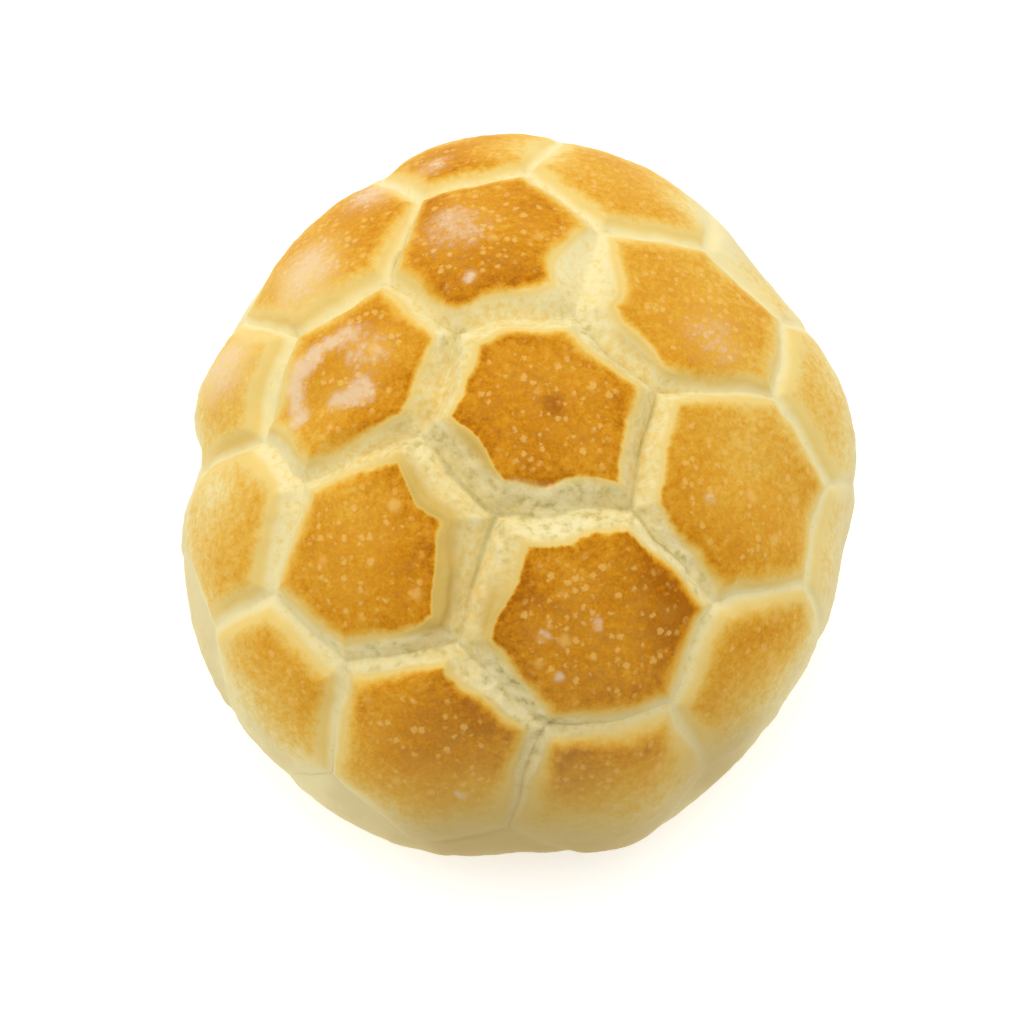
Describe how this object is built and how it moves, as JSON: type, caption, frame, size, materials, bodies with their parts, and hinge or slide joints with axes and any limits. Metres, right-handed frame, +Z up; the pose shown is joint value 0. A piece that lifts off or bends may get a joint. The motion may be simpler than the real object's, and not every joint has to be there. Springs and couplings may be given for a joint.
{
  "type": "turtle bread roll",
  "caption": "Domed oval bread roll with a golden-brown crust stamped into a honeycomb of plateaus between pale torn grooves, lying on its flat base.",
  "frame": {"origin": "middle of the flat base, on the surface that the roll lies on", "axes": "+Z up through the top of the dome, +X to the right and +Y away from the viewer as the roll lies in the picture"},
  "size_m": [0.1036, 0.1154, 0.054],
  "materials": {
    "crust": "matt baked crust, golden brown on the plateaus and pale cream in the grooves and on the sides"
  },
  "bodies": {
    "root": {"roll": "crust"}
  },
  "joints": []
}
